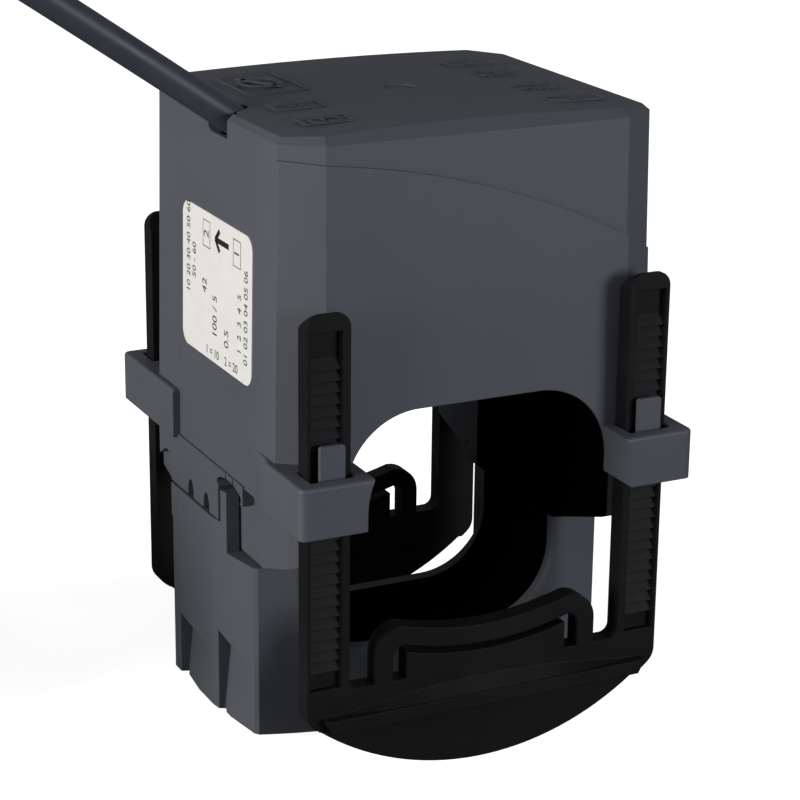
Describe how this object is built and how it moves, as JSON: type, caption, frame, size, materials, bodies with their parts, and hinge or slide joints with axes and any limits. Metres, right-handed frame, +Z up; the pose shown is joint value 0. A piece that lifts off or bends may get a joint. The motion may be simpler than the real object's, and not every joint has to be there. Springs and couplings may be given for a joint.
{
  "type": "split-core current transformer",
  "caption": "Split-core current transformer with a rounded square cable window, sliding ratchet cable clamps at both ends, a closing part that clips on and a fixed lead.",
  "frame": {"origin": "bottom centre of the bounding box without the lead, on the lowest line of the domed base", "axes": "+Z up, +Y along the primary cable towards the rear cover, -Y is the front, +X across the window to the right seen from the front; the lead leaves on the -X side"},
  "size_m": [0.1732, 0.1021, 0.1323],
  "materials": {
    "housing_plastic": "fine moulded texture, satin",
    "bracket_plastic": "satin moulded, glass filled",
    "liner_plastic": "black insulating film, matt",
    "core_steel": "edges of wound strip, lacquered",
    "winding_copper": "enamelled copper wire",
    "bobbin_plastic": "natural moulded",
    "tape_film": "polyester film tape",
    "spring_steel": "rolled strip",
    "cable_jacket": "soft vinyl, slightly shiny",
    "clamp_rubber": "matt",
    "label_film": "printed film",
    "tie_plastic": "soft coated",
    "insulation_brown": "vinyl",
    "insulation_blue": "vinyl",
    "tinned_copper": "tinned, dull"
  },
  "bodies": {
    "closing_part": {"lower_housing": "housing_plastic", "lower_rear_cover": "housing_plastic", "lower_window_liner": "liner_plastic", "lower_core": "core_steel", "core_spring": "spring_steel"},
    "housing": {"upper_housing": "housing_plastic", "upper_rear_cover": "housing_plastic", "upper_window_liner": "liner_plastic", "upper_core": "core_steel", "bobbin_front_half": "bobbin_plastic", "bobbin_rear_half": "bobbin_plastic", "secondary_winding": "winding_copper", "winding_tape": "tape_film", "lead_clamp": "clamp_rubber", "lead_inner_end": "cable_jacket", "crimp_sleeves": "tinned_copper", "inner_wire_brown": "insulation_brown", "inner_wire_blue": "insulation_blue", "rating_label": "label_film", "lead_tube": "cable_jacket", "lead_coil": "cable_jacket", "coil_tie": "tie_plastic", "lead_tail": "cable_jacket", "wire_brown": "insulation_brown", "wire_blue": "insulation_blue", "wire_end_sleeves": "tinned_copper"},
    "front_clamp": {"front_bracket": "bracket_plastic"},
    "rear_clamp": {"rear_bracket": "bracket_plastic"},
    "front_left_pawl": {"pawl_front_left": "housing_plastic"},
    "front_right_pawl": {"pawl_front_right": "housing_plastic"},
    "rear_left_pawl": {"pawl_rear_left": "housing_plastic"},
    "rear_right_pawl": {"pawl_rear_right": "housing_plastic"}
  },
  "joints": [
    {"name": "housing_lift", "type": "slide", "parent": "closing_part", "child": "housing", "axis": [0, 0, 1], "range_m": [0, 0.045]},
    {"name": "front_clamp_slide", "type": "slide", "parent": "housing", "child": "front_clamp", "axis": [0, 0, 1], "range_m": [-0.0122, 0.024]},
    {"name": "rear_clamp_slide", "type": "slide", "parent": "housing", "child": "rear_clamp", "axis": [0, 0, 1], "range_m": [-0.0122, 0.024]},
    {"name": "front_left_pawl_hinge", "type": "hinge", "parent": "housing", "child": "front_left_pawl", "pos_m": [-0.0255, -0.032, 0.0473], "axis": [-1, 0, 0], "range_deg": [0, 4.5], "stiffness_Nm_per_rad": 0.002},
    {"name": "front_right_pawl_hinge", "type": "hinge", "parent": "housing", "child": "front_right_pawl", "pos_m": [0.0255, -0.032, 0.0473], "axis": [-1, 0, 0], "range_deg": [0, 4.5], "stiffness_Nm_per_rad": 0.002},
    {"name": "rear_left_pawl_hinge", "type": "hinge", "parent": "housing", "child": "rear_left_pawl", "pos_m": [-0.0255, 0.032, 0.0473], "axis": [1, 0, 0], "range_deg": [0, 4.5], "stiffness_Nm_per_rad": 0.002},
    {"name": "rear_right_pawl_hinge", "type": "hinge", "parent": "housing", "child": "rear_right_pawl", "pos_m": [0.0255, 0.032, 0.0473], "axis": [1, 0, 0], "range_deg": [0, 4.5], "stiffness_Nm_per_rad": 0.002}
  ]
}
